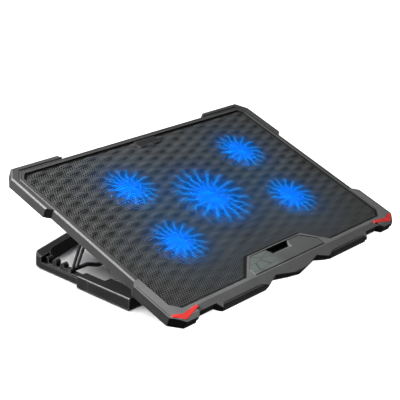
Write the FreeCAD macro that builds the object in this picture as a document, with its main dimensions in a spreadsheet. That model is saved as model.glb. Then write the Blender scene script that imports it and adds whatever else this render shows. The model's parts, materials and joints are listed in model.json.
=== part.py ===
import FreeCAD, Part
import Sketcher
import os
import math

# Laptop cooling pad: a tilted pad with a perforated top and five fans, standing
# on a folding base frame and a wire prop. Millimetres. +Z up, +X along the
# width, +Y to the rear. The origin is on the ground, under the middle.
os.makedirs("parts", exist_ok=True)
doc = FreeCAD.newDocument("cooling_pad")
V = FreeCAD.Vector
_C = Sketcher.Constraint

# ------------------------------------------------------------------ sizes
SIZES = [
    ("tilt", 19.5), ("ground_shift", 126.05), ("ground_lift", 0.0),
    ("contact_y", -136.5), ("contact_z", -11.5),
    ("guard_x", 200.0), ("guard_y", 133.7), ("rail_x", 193.3), ("rail_y", 127.8),
    ("rim_low", -11.5), ("ledge_x", 183.0), ("ledge_y", 117.2), ("window_x", 187.0),
    ("window_y", 121.0), ("window_front", -117.6), ("ledge_top", -2.9),
    ("seam_y", -65.0), ("seam_gap", 0.2), ("rail_chamfer", 1.5),
    ("front_y", -136.5), ("front_mid_y", -128.0), ("slope_y", -121.5), ("slope_angle", 18.07), ("bezel_split", -6.2),
    ("mesh_top", -2.0), ("mesh_thick", 0.8), ("skin_top", -3.1), ("skin_thick", 1.7),
    ("bulge_x", 153.0), ("bulge_front", -88.0), ("bulge_rear", 116.0), ("bulge_low", -22.0),
    ("wall_thick", 1.8),
    ("tongue_y", -93.5), ("tongue_x", 47.5), ("tongue_base_x", 76.0),
    ("flap_x", 62.0), ("flap_rear_x", 43.5), ("flap_rear_y", -95.0), ("flap_front_y", -119.3),
    ("flap_thick", 3.0), ("flap_gap", 0.45), ("flap_pin_r", 0.8), ("flap_fit", 0.06),
    ("big_fan_r", 53.0), ("small_fan_r", 35.5), ("frame_wall", 2.2), ("tip_gap", 1.0),
    ("fan_low", -20.0), ("fan_top", -6.2), ("blade_low", -17.4), ("blade_top", -7.6),
    ("big_hub_r", 17.0), ("small_hub_r", 13.0), ("hub_wall", 1.4), ("shaft_r", 1.5), ("shaft_fit", 0.05),
    ("big_fan_x", 3.0), ("big_fan_y", 4.5), ("rear_left_x", -80.0), ("rear_right_x", 113.0),
    ("rear_fan_y", 55.5), ("front_left_x", -96.0), ("front_right_x", 103.0), ("front_fan_y", -37.0),
    ("hinge_y", 76.0), ("hinge_z", 9.0), ("hinge_pin_r", 2.5), ("hinge_fit", 0.08),
    ("shoe_out", 194.5), ("shoe_in", 173.5), ("shoe_rear", 143.0), ("shoe_top", 13.8), ("panel_step", 0.5),
    ("arm_out", 189.0), ("arm_in", 174.0), ("arm_top", 5.3), ("arm_low", 0.9),
    ("bar_top", 14.6), ("lip_in", 186.4), ("lip_top", 7.3), ("bar_width", 12.6), ("foot_y", 166.0), ("foot_z", 8.0), ("foot_r", 2.3),
    ("notch_pitch", 11.8), ("rack_out", 182.5), ("rack_in", 175.5), ("rack_top", 12.6),
    ("leg_len", 47.2), ("wire_r", 1.6), ("cross_r", 2.5), ("panel_left", 18.0), ("panel_right", 102.0),
]
sheet = doc.addObject("Spreadsheet::Sheet", "Sizes")
for i, (key, val) in enumerate(SIZES, start=1):
    sheet.set("A%d" % i, key)
    sheet.set("B%d" % i, repr(val))
    sheet.setAlias("B%d" % i, key)
doc.recompute()


class Q:
    """A length: its value, and the expression over the sheet that gives it."""

    def __init__(self, v, e=None):
        self.v = float(v)
        self.e = e

    def _t(self):
        return self.e if self.e else "(%r)" % self.v

    def _o(self, o, f, s, flip=False):
        o = o if isinstance(o, Q) else Q(o)
        a, b = (o, self) if flip else (self, o)
        bound = a.e or b.e
        return Q(f(a.v, b.v), "(%s %s %s)" % (a._t(), s, b._t()) if bound else None)

    def __add__(self, o): return self._o(o, lambda a, b: a + b, "+")
    def __radd__(self, o): return self._o(o, lambda a, b: a + b, "+", True)
    def __sub__(self, o): return self._o(o, lambda a, b: a - b, "-")
    def __rsub__(self, o): return self._o(o, lambda a, b: a - b, "-", True)
    def __mul__(self, o): return self._o(o, lambda a, b: a * b, "*")
    def __rmul__(self, o): return self._o(o, lambda a, b: a * b, "*", True)
    def __truediv__(self, o): return self._o(o, lambda a, b: a / b, "/")
    def __neg__(self): return Q(-self.v, "(0 - %s)" % self._t() if self.e else None)


class _Sizes:
    def __getattr__(self, key):
        for k, v in SIZES:
            if k == key:
                return Q(v, "Sizes." + k)
        raise AttributeError(key)


S = _Sizes()


def q(x):
    return x if isinstance(x, Q) else Q(x)


def bind(obj, prop, val):
    if val.e:
        obj.setExpression(prop, val.e)


# ------------------------------------------------------------------ frames
tilt = S.tilt.v
a = math.radians(tilt)
CY, CZ = S.contact_y.v, S.contact_z.v
PAD = FreeCAD.Placement(
    V(0, -(CY * math.cos(a) - CZ * math.sin(a)) - S.ground_shift.v,
      -(CY * math.sin(a) + CZ * math.cos(a)) + S.ground_lift.v),
    FreeCAD.Rotation(V(1, 0, 0), tilt))
GROUND = FreeCAD.Placement(V(0, -S.ground_shift.v, 0), FreeCAD.Rotation())

parts = []


def new_body(label, where):
    b = doc.addObject("PartDesign::Body", label)
    b.Label = label
    b.Placement = where
    parts.append(b)
    return b


def plane(body, role):
    return [f for f in body.Origin.OriginFeatures if f.Role == role][0]


def sketch(body, loops=(), circles=(), role="XY_Plane", off=0):
    """Closed polygons and circles, every corner held by dimensions."""
    sk = body.newObject("Sketcher::SketchObject", body.Name + "_sketch")
    sk.AttachmentSupport = [(plane(body, role), "")]
    sk.MapMode = "FlatFace"
    off = q(off)
    sk.AttachmentOffset = FreeCAD.Placement(V(0, 0, off.v), FreeCAD.Rotation())
    if off.e:
        sk.setExpression("AttachmentOffset.Base.z", off.e)
    todo = []

    def hold(geo, pos, x, y):
        for ax, val in (("X", q(x)), ("Y", q(y))):
            if abs(val.v) < 1e-9:
                sk.addConstraint(_C("PointOnObject", geo, pos, -2 if ax == "X" else -1))
            else:
                n = sk.addConstraint(_C("Distance" + ax, -1, 1, geo, pos, val.v))
                if val.e:
                    todo.append((n, val.e))

    for loop in loops:
        n = len(loop)
        ids = []
        for i in range(n):
            p, r = loop[i], loop[(i + 1) % n]
            ids.append(sk.addGeometry(Part.LineSegment(V(q(p[0]).v, q(p[1]).v, 0), V(q(r[0]).v, q(r[1]).v, 0)), False))
        for i in range(n):
            sk.addConstraint(_C("Coincident", ids[i], 2, ids[(i + 1) % n], 1))
        for i in range(n):
            hold(ids[i], 1, *loop[i])
    for (cx, cy, r) in circles:
        r = q(r)
        g = sk.addGeometry(Part.Circle(V(q(cx).v, q(cy).v, 0), V(0, 0, 1), r.v), False)
        hold(g, 3, cx, cy)
        n = sk.addConstraint(_C("Radius", g, r.v))
        if r.e:
            todo.append((n, r.e))
    for n, e in todo:
        sk.setExpression("Constraints[%d]" % n, e)
    return sk


def pad(body, low, high, loops=(), circles=(), role="XY_Plane"):
    low, high = q(low), q(high)
    sk = sketch(body, loops, circles, role, low)
    f = body.newObject("PartDesign::Pad", body.Name + "_pad")
    f.Profile = sk
    f.Length = abs((high - low).v)
    bind(f, "Length", high - low)
    doc.recompute()
    return f


def cut(body, low, high, loops=(), circles=(), role="XY_Plane"):
    """Pocket between two heights along the plane's normal."""
    low, high = q(low), q(high)
    before = body.Shape.Volume
    sk = sketch(body, loops, circles, role, high)
    f = body.newObject("PartDesign::Pocket", body.Name + "_pocket")
    f.Profile = sk
    f.Type = 0
    f.Length = abs((high - low).v)
    bind(f, "Length", high - low)
    doc.recompute()
    if not body.Shape.Volume < before - 1e-3:
        raise RuntimeError("pocket cuts nothing in " + body.Label)
    return f


def edge_names(shape, test):
    return ["Edge%d" % (i + 1) for i, e in enumerate(shape.Edges) if test(e)]


def dress(body, kind, size, test):
    """Chamfer or Fillet on the edges of the tip that pass the test."""
    base = body.Tip
    names = edge_names(base.Shape, test)
    if not names:
        raise RuntimeError("no edges in " + body.Label)
    f = body.newObject("PartDesign::" + kind, body.Name + "_" + kind.lower())
    f.Base = (base, names)
    size = q(size)
    setattr(f, "Size" if kind == "Chamfer" else "Radius", size.v)
    bind(f, "Size" if kind == "Chamfer" else "Radius", size)
    doc.recompute()
    if "Invalid" in f.State or "Error" in f.State:
        raise RuntimeError("%s fails in %s" % (kind, body.Label))
    return f


def revolve(body, loops, role="XZ_Plane", off=0):
    """Full turn about the body's own Z axis (profile in the XZ plane)."""
    sk = sketch(body, loops, (), role, off)
    f = body.newObject("PartDesign::Revolution", body.Name + "_turn")
    f.Profile = sk
    f.ReferenceAxis = (sk, ["V_Axis"])
    f.Angle = 360.0
    doc.recompute()
    return f


def feature(label, shape, where):
    f = doc.addObject("Part::Feature", label)
    f.Label = label
    f.Shape = shape
    f.Placement = where
    parts.append(f)
    return f


def rect(x0, y0, x1, y1):
    return [(x0, y0), (x1, y0), (x1, y1), (x0, y1)]


def mirror(pts):
    """Right half, front to back, closed with its mirror image about x = 0."""
    left = [(-q(x), y) for x, y in reversed(pts) if abs(q(x).v) > 1e-9]
    return list(pts) + left


def at(x, y, z=0.0, base=PAD):
    return base.multiply(FreeCAD.Placement(V(x, y, z), FreeCAD.Rotation()))


def mid(e):
    return e.BoundBox.Center


# ------------------------------------------------------------------ rim
# Main rim: left rail, rear rail and right rail in one moulding, open at the
# front, with a ledge that carries the perforated panel.
seam = S.seam_y + S.seam_gap
b = new_body("top_frame", PAD)
outer = [(S.rail_x, seam), (S.rail_x, S.rail_y - 13.0), (S.rail_x - 10.6, S.rail_y)]
inner = [(S.ledge_x, seam), (S.ledge_x, S.ledge_y - 6.0), (S.ledge_x - 6.0, S.ledge_y)]
loop = outer + [(-q(x), y) for x, y in reversed(outer)] + [(-q(x), y) for x, y in inner] + list(reversed(inner))
pad(b, S.rim_low, 0, [loop])
win = [(S.window_x, seam - 5.0), (S.window_x, S.window_y - 7.0), (S.window_x - 7.0, S.window_y)]
cut(b, S.ledge_top, 0, [win + [(-q(x), y) for x, y in reversed(win)]])
# chamfer along the outer top edge
dress(b, "Chamfer", S.rail_chamfer, lambda e: abs(e.BoundBox.ZMin) < 1e-6 and abs(e.BoundBox.ZMax) < 1e-6
      and e.Length > 8 and (abs(mid(e).x) > S.rail_x.v - 0.1 or mid(e).y > S.rail_y.v - 0.1
                            or (abs(mid(e).x) > S.rail_x.v - 7 and mid(e).y > S.rail_y.v - 8)))
# narrow groove along the top of the rail
g0 = [(S.rail_x - 2.5, seam - 5.0), (S.rail_x - 2.5, S.rail_y - 14.0), (S.rail_x - 11.7, S.rail_y - 2.5)]
g1 = [(S.rail_x - 3.4, seam - 5.0), (S.rail_x - 3.4, S.rail_y - 14.4), (S.rail_x - 12.1, S.rail_y - 3.4)]
cut(b, -0.7, 0, [g0 + [(-q(x), y) for x, y in reversed(g0)] + [(-q(x), y) for x, y in g1] + list(reversed(g1))])
# underside channel that lightens the side rails
for s in (1, -1):
    x0, x1 = sorted([s * 185.2, s * 191.0])
    cut(b, S.rim_low, S.rim_low + 6.5, [rect(x0, -60, x1, 106)])
# window for the controls in the rear rail
cut(b, -10.7, -2.9, [rect(S.panel_left, 110, S.panel_right, 130)])

# Rear corner guards wrap the corners outside the main rim.
for s, nm in ((-1, "rear_corner_guard_left"), (1, "rear_corner_guard_right")):
    b = new_body(nm, PAD)
    e = 0.15
    pts = [(S.guard_x, 63.5), (S.guard_x, 119.0), (S.guard_x - 11.5, S.guard_y), (q(125.0), S.guard_y),
           (q(119.5), S.rail_y + e), (S.rail_x - 10.5, S.rail_y + e), (S.rail_x + e, S.rail_y - 12.9), (S.rail_x + e, 58.0)]
    pad(b, S.rim_low, 0.35, [[(q(x) * s, y) for x, y in pts]])
    dress(b, "Chamfer", 1.4, lambda e: abs(e.BoundBox.ZMin - 0.35) < 1e-6 and abs(e.BoundBox.ZMax - 0.35) < 1e-6
          and (abs(mid(e).x) > 199.9 or mid(e).y > 133.6 or (abs(mid(e).x) > 190 and 120 < mid(e).y < 132)))

# Front bezel: wraps both front corners, slopes down to the front edge, and
# reaches back in the middle as a tongue that carries the stop flap.
b = new_body("front_bezel", PAD)
half = [(q(0), S.front_y), (q(37.5), S.front_mid_y), (q(58.0), S.front_y + 0.4), (q(130.0), S.front_y + 0.4), (q(136.0), S.front_mid_y),
        (q(162.0), S.front_mid_y), (q(168.0), q(-133.7)), (q(186.0), q(-133.7)), (S.guard_x, q(-121.5)),
        (S.guard_x, S.seam_y - 6.0), (S.rail_x, S.seam_y), (S.window_x - 0.0, S.seam_y), (S.window_x, S.window_front + 10.0),
        (S.window_x - 10.0, S.window_front), (S.tongue_base_x, S.window_front), (S.tongue_x, S.tongue_y)]
pad(b, S.bezel_split, 0, [mirror(half)])
low = [(q(0), S.front_y + 1.0), (q(37.5), S.front_mid_y + 1.0), (q(58.6), S.front_y + 1.4), (q(129.6), S.front_y + 1.4), (q(135.4), S.front_mid_y + 0.8),
       (q(162.6), S.front_mid_y + 0.8), (q(168.4), q(-132.8)), (q(185.6), q(-132.8)), (S.guard_x - 0.9, q(-121.1)),
       (S.guard_x - 0.9, S.seam_y - 6.4), (S.rail_x - 0.3, S.seam_y), (S.ledge_x, S.seam_y), (S.ledge_x, S.window_front + 6.0), (S.ledge_x - 6.0, S.window_front - 0.6)]
pad(b, S.rim_low, S.bezel_split, [mirror(low)])
# the top falls away to the front edge
tn, cs, sn = (fn(math.radians(S.slope_angle.v)) for fn in (math.tan, math.cos, math.sin))
y_end = q(-140.5)
cut(b, -163.5, 163.5, [[(S.slope_y, q(0)), (S.slope_y, q(3)), (y_end, q(3)), (y_end, (y_end - S.slope_y) * tn)]], role="YZ_Plane")
for s in (1, -1):
    x0, x1 = sorted((s * 163.5, s * 206.0))
    cut(b, x0, x1, [[(q(-128.5), q(0)), (q(-128.5), q(3)), (q(-138.0), q(3)), (q(-138.0), q(-2.6))]], role="YZ_Plane")
# shallow step along the front of each jutting segment, square to the slope
for s in (1, -1):
    ly0, ly1 = (-130.3 - S.slope_y.v) / cs, (-138.6 - S.slope_y.v) / cs
    sk = sketch(b, [[(s * 65.0, ly0), (s * 126.5, ly0), (s * 134.5, ly1), (s * 46.0, ly1)]])
    sk.AttachmentOffset = FreeCAD.Placement(V(0, S.slope_y.v, 0), FreeCAD.Rotation(V(1, 0, 0), S.slope_angle.v))
    sk.setExpression("AttachmentOffset.Base.y", "Sizes.slope_y")
    before = b.Shape.Volume
    f = b.newObject("PartDesign::Pocket", "front_step")
    f.Profile = sk
    f.Length = 0.7
    doc.recompute()
    if not b.Shape.Volume < before - 50:
        raise RuntimeError("front step cuts nothing")
# fine line along the outer edge of each side
for s in (1, -1):
    x0, x1 = sorted((s * 197.3, s * 198.2))
    cut(b, -0.7, 3, [rect(x0, -119.6, x1, -72.5)])
# step under the front edge, so that the rubber strips touch the ground first
cut(b, -210, 210, [[(S.front_y - 2.0, S.rim_low - 1.0), (S.front_y + 4.6, S.rim_low - 1.0), (S.front_y + 4.6, S.rim_low), (S.front_y - 2.0, S.rim_low + 2.4)]], role="YZ_Plane")
# recess for the stop flap, with room for its swing about the front edge
g = S.flap_gap
rec = [(S.flap_x + g, S.flap_front_y - g - 0.6), (S.flap_x + g, q(-109.6)), (S.flap_rear_x + g, S.flap_rear_y + g)]
cut(b, -4.2, 3, [rec + [(-q(x), y) for x, y in reversed(rec)]])
# finger cup under the flap's slot
pad(b, -9.6, S.bezel_split, [[(-24.0, -108.0), (28.0, -108.0), (28.0, S.tongue_y - 0.1), (-24.0, S.tongue_y - 0.1)]])
cut(b, -8.8, 3, [[(-17.0, -105.2), (21.0, -105.2), (25.0, S.flap_rear_y + g), (-21.0, S.flap_rear_y + g)]])
# bores for the flap's hinge pin
cut(b, -66.5, 66.5, (), [(-117.7, -1.7, S.flap_pin_r + 0.02)], role="YZ_Plane")
# hollow below, behind the front wall
cut(b, S.rim_low, S.bezel_split - 0.6, [mirror([(q(0), q(-126.0)), (q(176.0), q(-126.0)), (q(176.0), q(-121.0)), (q(60.0), q(-121.0))])])
# seats of the red accents
for s in (1, -1):
    cut(b, -3.4, 3, [[(s * 195.5, -119.5), (s * 197.1, -123.0), (s * 184.4, -131.6), (s * 159.4, -124.5), (s * 159.9, -120.6), (s * 182.3, -123.8)]])

for s, nm in ((-1, "red_accent_left"), (1, "red_accent_right")):
    b = new_body(nm, PAD)
    pad(b, -3.35, 0.75, [[(s * 195.4, -120.0), (s * 196.6, -123.0), (s * 184.4, -131.2), (s * 159.8, -124.2), (s * 160.2, -121.0), (s * 182.4, -124.2)]])
    cut(b, -210, 210, [[(q(-122.6), q(0.75)), (q(-122.6), q(3)), (q(-134.0), q(3)), (q(-134.0), q(-0.9))]], role="YZ_Plane")

# ------------------------------------------------------------------ top
b = new_body("badge_plate", PAD)
pad(b, S.mesh_top + 0.05, -0.6, [[(q(24.5), q(114.0)), (q(20.5), q(120.2)), (q(-12.5), q(120.2)), (q(-16.5), q(114.0)), (q(-12.5), q(107.6)), (q(20.5), q(107.6))]])
dress(b, "Chamfer", 0.6, lambda e: abs(e.BoundBox.ZMin + 0.6) < 1e-6 and abs(e.BoundBox.ZMax + 0.6) < 1e-6)

# Perforated and embossed panel, drawn as a plain sheet of its real outline.
b = new_body("mesh_panel", PAD)
m = [(S.tongue_x + 0.4, S.tongue_y + 0.4), (S.tongue_base_x + 0.5, S.window_front + 0.3), (S.window_x - 10.2, S.window_front + 0.3),
     (S.window_x - 0.3, S.window_front + 10.2), (S.window_x - 0.3, S.window_y - 7.2), (S.window_x - 7.2, S.window_y - 0.3)]
pad(b, S.mesh_top - S.mesh_thick, S.mesh_top, [mirror(m)])

# Stop flap: hinged along its front edge, keeps a laptop from sliding off.
b = new_body("stop_flap", PAD)
fl = [(S.flap_x, S.flap_front_y), (S.flap_x, q(-110.0)), (S.flap_rear_x, S.flap_rear_y)]
pad(b, -0.2 - S.flap_thick, -0.2, [fl + [(-q(x), y) for x, y in reversed(fl)]])
cut(b, -5, 3, [[(-14.0, -101.8), (18.0, -101.8), (22.0, -94.0), (-18.0, -94.0)]])
# finger ramp in front of the slot
cut(b, -14.0, 18.0, [[(q(-104.8), q(-0.2)), (q(-104.8), q(1)), (q(-101.0), q(1)), (q(-101.0), q(-2.8)), (q(-101.8), q(-2.8))]], role="YZ_Plane")
dress(b, "Chamfer", 0.9, lambda e: e.Length > 100 and mid(e).y < -119)
dress(b, "Chamfer", 0.5, lambda e: abs(e.BoundBox.ZMin + 0.2) < 1e-6 and abs(e.BoundBox.ZMax + 0.2) < 1e-6 and mid(e).y > -118)
cut(b, -70, 70, (), [(-117.7, -1.7, S.flap_pin_r + S.flap_fit)], role="YZ_Plane")

pin = new_body("flap_hinge_pin", PAD)
pad(pin, -66.0, 66.0, (), [(-117.7, -1.7, S.flap_pin_r)], role="YZ_Plane")

# ------------------------------------------------------------------ underside
screw_spots = [(s * 179.0, y) for s in (1, -1) for y in (-50.0, 62.0, 100.0)]
# posts on the main rim take the six case screws
b = [p for p in parts if p.Label == "top_frame"][0]
posts = []
for x, y in screw_spots:
    x0, x1 = (175.5, 183.4) if x > 0 else (-183.4, -175.5)
    posts.append(rect(x0, y - 4.0, x1, y + 4.0))
pad(b, -4.7, S.ledge_top, posts)
cut(b, -4.7, -3.3, (), [(x, y, 1.2) for x, y in screw_spots])

b = new_body("bottom_shell", PAD)
sk0 = [(q(0), S.tongue_y + 0.4), (S.tongue_x + 0.4, S.tongue_y + 0.4), (S.tongue_base_x + 0.6, S.window_front + 0.3), (S.ledge_x - 6.3, S.window_front + 0.3),
       (S.ledge_x - 0.3, S.window_front + 6.3), (S.ledge_x - 0.3, S.ledge_y - 6.2), (S.ledge_x - 6.2, S.ledge_y - 0.3), (q(0), S.ledge_y - 0.3)]
pad(b, S.skin_top - S.skin_thick, S.skin_top, [mirror(sk0)])
ch = q(12.0)
bx, bf, br = S.bulge_x, S.bulge_front, S.bulge_rear
pad(b, S.bulge_low, S.skin_top - S.skin_thick, [mirror([(q(0), bf), (bx - ch, bf), (bx, bf + ch), (bx, br - ch), (bx - ch, br), (q(0), br)])])
w = S.wall_thick
dress(b, "Chamfer", 3.0, lambda e: abs(e.BoundBox.ZMin - S.bulge_low.v) < 1e-6 and abs(e.BoundBox.ZMax - S.bulge_low.v) < 1e-6)
c2 = ch - 0.6
cut(b, S.bulge_low + w, 0, [mirror([(q(0), bf + w), (bx - c2 - w, bf + w), (bx - w, bf + c2 + w), (bx - w, br - c2 - w), (bx - c2 - w, br - w), (q(0), br - w)])])
# notches round the rim's posts, and the pads below them
cut(b, S.skin_top - S.skin_thick, 0, [rect(*((175.2, y - 4.3, 183.0, y + 4.3) if x > 0 else (-183.0, y - 4.3, -175.2, y + 4.3))) for x, y in screw_spots])
pad(b, -6.5, S.skin_top - S.skin_thick, [rect(*((171.5, y - 5.0, 182.6, y + 5.0) if x > 0 else (-182.6, y - 5.0, -171.5, y + 5.0))) for x, y in screw_spots])
cut(b, -6.5, 0, (), [(x, y, 1.3) for x, y in screw_spots])
# room for the controls
cut(b, -10.6, 0, [rect(S.panel_left, 112.0, S.panel_right, 118.0)])

FANS = [("center", S.big_fan_x, S.big_fan_y, S.big_fan_r, S.big_hub_r, 18),
        ("rear_left", S.rear_left_x, S.rear_fan_y, S.small_fan_r, S.small_hub_r, 16),
        ("rear_right", S.rear_right_x, S.rear_fan_y, S.small_fan_r, S.small_hub_r, 16),
        ("front_left", S.front_left_x, S.front_fan_y, S.small_fan_r, S.small_hub_r, 16),
        ("front_right", S.front_right_x, S.front_fan_y, S.small_fan_r, S.small_hub_r, 16)]
# where each fan frame's three screw ears point
EARS = {nm: [math.radians(t) for t in ((90, 180, 270) if nm.startswith("rear") else (90, 210, 330))] for nm, fx, fy, fr, hr, nb in FANS}

# radial air slots in the floor, under each fan
for nm, fx, fy, fr, hr, nb in FANS:
    n = 24 if nm == "center" else 18
    low = S.bulge_low
    sk = sketch(b, [rect(hr + 5.0, -1.5, fr - 3.0, 1.5)], (), "XY_Plane", low + w + 0.5)
    sk.AttachmentOffset = FreeCAD.Placement(V(fx.v, fy.v, (low + w + 0.5).v), FreeCAD.Rotation())
    bind(sk, "AttachmentOffset.Base.x", fx)
    bind(sk, "AttachmentOffset.Base.y", fy)
    before = b.Shape.Volume
    f = b.newObject("PartDesign::Pocket", "air_slot_" + nm)
    f.Profile = sk
    f.Length = 4.0
    doc.recompute()
    pp = b.newObject("PartDesign::PolarPattern", "air_slots_" + nm)
    pp.Originals = [f]
    pp.Axis = (sk, ["N_Axis"])
    pp.Angle = 360.0
    pp.Occurrences = n
    b.Tip = pp
    doc.recompute()
    if not b.Shape.Volume < before - 100:
        raise RuntimeError("air slots cut nothing")

# ------------------------------------------------------------------ fans
for nm, fx, fy, fr, hr, nb in FANS:
    here = at(fx.v, fy.v)
    b = new_body("fan_frame_" + nm, here)
    lo, hi = S.fan_low, S.fan_top
    pad(b, lo, hi, (), [(0, 0, fr + S.frame_wall), (0, 0, fr)])
    arms = []
    sk_arm = rect(3.0, -2.4, fr + 1.0, 2.4)
    f = pad(b, lo, lo + 1.4, [sk_arm])
    pp = b.newObject("PartDesign::PolarPattern", "arms_" + nm)
    pp.Originals = [f]
    pp.Axis = (f.Profile[0], ["N_Axis"])
    pp.Angle = 360.0
    pp.Occurrences = 4
    b.Tip = pp
    doc.recompute()
    pad(b, lo, lo + 1.4, (), [(0, 0, hr + 0.6)])
    pad(b, lo + 1.4, -12.3, (), [(0, 0, 3.2)])
    cut(b, lo, 0, (), [(0, 0, S.shaft_r + 0.02)])
    ears = [((fr + 5.4).v * math.cos(t), (fr + 5.4).v * math.sin(t)) for t in EARS[nm]]
    for k, (ex, ey) in enumerate(ears):
        t = EARS[nm][k]
        cx, sx = math.cos(t), math.sin(t)
        i0, i1 = fr + 1.0, fr + 8.6
        pad(b, lo, lo + 2.4, [[(i0 * cx + 4.0 * sx, i0 * sx - 4.0 * cx), (i1 * cx + 2.6 * sx, i1 * sx - 2.6 * cx), (i1 * cx - 2.6 * sx, i1 * sx + 2.6 * cx), (i0 * cx - 4.0 * sx, i0 * sx + 4.0 * cx)]])
    cut(b, lo, lo + 2.4, (), [(ex, ey, 1.3) for ex, ey in ears])

    b = new_body("fan_shaft_" + nm, here)
    pad(b, lo, -8.5, (), [(0, 0, S.shaft_r)])

    b = new_body("fan_stator_" + nm, here)
    sr = hr - S.hub_wall - 0.9
    pad(b, -18.3, -9.6, (), [(0, 0, sr), (0, 0, 3.4)])
    cut(b, -16.9, -11.0, (), [(0, 0, sr + 2.0), (0, 0, sr - 2.2)])

    b = new_body("fan_rotor_" + nm, here)
    z0, z1 = S.blade_low, S.blade_top
    r0, r1 = S.shaft_r + S.shaft_fit, 3.0
    revolve(b, [[(0, z1), (hr - 1.0, z1), (hr, z1 - 1.0), (hr, z0), (hr - S.hub_wall, z0), (hr - S.hub_wall, q(-9.0)), (q(r1), q(-9.0)), (q(r1), q(-12.0)), (r0, q(-12.0)), (r0, q(-8.3)), (0, q(-8.3))]])
    # one curved, leaning blade, lofted between its lower and upper edges
    tip = (fr - S.tip_gap).v
    root = hr.v - 0.7

    def edge(turn, thick):
        side = []
        for k in range(5):
            u = k / 4.0
            r = root + (tip - root) * u
            side.append((r, math.radians(turn + 46.0 * u)))
        fwd = [(r * math.cos(t) - thick * math.sin(t), r * math.sin(t) + thick * math.cos(t)) for r, t in side]
        back = [(r * math.cos(t) + thick * math.sin(t), r * math.sin(t) - thick * math.cos(t)) for r, t in reversed(side)]
        return fwd + back
    lean = 360.0 / nb * 0.55
    s0 = sketch(b, [edge(0.0, 0.55)], (), "XY_Plane", z0 + 0.2)
    s1 = sketch(b, [edge(lean, 0.55)], (), "XY_Plane", z1 - 1.2)
    doc.recompute()
    f = b.newObject("PartDesign::AdditiveLoft", "blade_" + nm)
    f.Profile = s0
    f.Sections = [s1]
    f.Ruled = True
    doc.recompute()
    pp = b.newObject("PartDesign::PolarPattern", "blades_" + nm)
    pp.Originals = [f]
    pp.Axis = (s0, ["N_Axis"])
    pp.Angle = 360.0
    pp.Occurrences = nb
    b.Tip = pp
    doc.recompute()

# screws: group nodes of separate solids
def screws(label, spots, where, z_head, z_tip, r_head, r_shank, head):
    solids = []
    for x, y in spots:
        s = Part.makeCylinder(r_shank, z_tip - z_head, V(x, y, z_head))
        hd = Part.makeCylinder(r_head, head, V(x, y, z_head - head)) if head > 0 else Part.makeCylinder(r_head, -head, V(x, y, z_head))
        s = s.fuse(hd)
        zc = z_head - head if head > 0 else z_head - head
        for t in (0, 90):
            slot = Part.makeBox(r_head * 1.3, 0.5, 0.7, V(x - r_head * 0.65, y - 0.25, zc - (0 if head > 0 else 0.7)))
            slot.rotate(V(x, y, 0), V(0, 0, 1), t)
            s = s.cut(slot)
        solids.append(s.removeSplitter())
    return feature(label, Part.makeCompound(solids), where)


screws("case_screws", screw_spots, PAD, -6.5, -3.4, 2.4, 1.15, 1.5)
fs = []
for nm, fx, fy, fr, hr, nb in FANS:
    for t in EARS[nm]:
        fs.append((fx.v + (fr.v + 5.4) * math.cos(t), fy.v + (fr.v + 5.4) * math.sin(t)))
solids = []
for x, y in fs:
    z = S.fan_low.v + 2.4
    s = Part.makeCylinder(1.2, 2.3, V(x, y, z - 2.3)).fuse(Part.makeCylinder(2.3, 1.3, V(x, y, z)))
    for t in (0, 90):
        slot = Part.makeBox(3.0, 0.5, 0.7, V(x - 1.5, y - 0.25, z + 0.65))
        slot.rotate(V(x, y, 0), V(0, 0, 1), t)
        s = s.cut(slot)
    solids.append(s)
feature("fan_screws", Part.makeCompound(solids), PAD)
leds = []
for nm, fx, fy, fr, hr, nb in FANS:
    r = (hr.v + fr.v) / 2
    for t in range(4):
        c = V(fx.v + r * math.cos(t * math.pi / 2), fy.v + r * math.sin(t * math.pi / 2), S.fan_low.v + 1.4)
        leds.append(Part.makeBox(3.4, 3.4, 0.75, c - V(1.7, 1.7, 0)))
feature("fan_leds", Part.makeCompound(leds), PAD)

# ------------------------------------------------------------------ controls
b = new_body("control_board", PAD)
pad(b, -10.5, -9.5, [rect(S.panel_left + 2.0, 98.0, S.panel_right - 2.0, 125.6)])
b = new_body("control_faceplate", PAD)
pad(b, -10.4, -3.1, [rect(S.panel_left + 0.25, 126.0, S.panel_right - 0.25, 127.7)])
USB = [("usb_socket_left", 34.0), ("usb_socket_right", 58.0)]
for nm, x in USB:
    cut(b, -9.6, -3.9, [rect(x - 6.75, 125, x + 6.75, 129)])
cut(b, -8.5, -4.7, [rect(76.2, 125, 91.8, 129)])
cut(b, -8.6, -5.0, [rect(94.2, 125, 99.8, 129)])
for nm, x in USB:
    b = new_body(nm, PAD)
    pad(b, -9.5, -4.0, [rect(x - 6.6, 114.0, x + 6.6, 128.0)])
    cut(b, -9.1, -4.4, [rect(x - 6.2, 114.4, x + 6.2, 130.0)])
    pad(b, -6.6, -4.8, [rect(x - 5.4, 114.3, x + 5.4, 123.4)])
b = new_body("dial_potentiometer", PAD)
pad(b, -9.5, -8.4, [rect(79.5, 117.0, 88.5, 125.5)])
pad(b, -8.4, -4.5, (), [(84.0, 121.5, 1.5)])
b = new_body("speed_dial", at(84.0, 121.5))
pad(b, -8.1, -5.1, (), [(0, 0, 8.5)])
dress(b, "Chamfer", 0.4, lambda e: e.Length > 50)
cut(b, -9, -4, (), [(0, 0, 1.56)])
sk = sketch(b, [[(8.1, -0.35), (9.0, -0.35), (9.0, 0.35), (8.1, 0.35)]], (), "XY_Plane", -5.0)
f = b.newObject("PartDesign::Pocket", "dial_notch")
f.Profile = sk
f.Length = 4.0
doc.recompute()
pp = b.newObject("PartDesign::PolarPattern", "dial_notches")
pp.Originals = [f]
pp.Axis = (sk, ["N_Axis"])
pp.Angle = 360.0
pp.Occurrences = 30
b.Tip = pp
doc.recompute()
b = new_body("light_switch", PAD)
pad(b, -9.5, -4.5, [rect(94.0, 113.5, 100.0, 120.4)])
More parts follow.
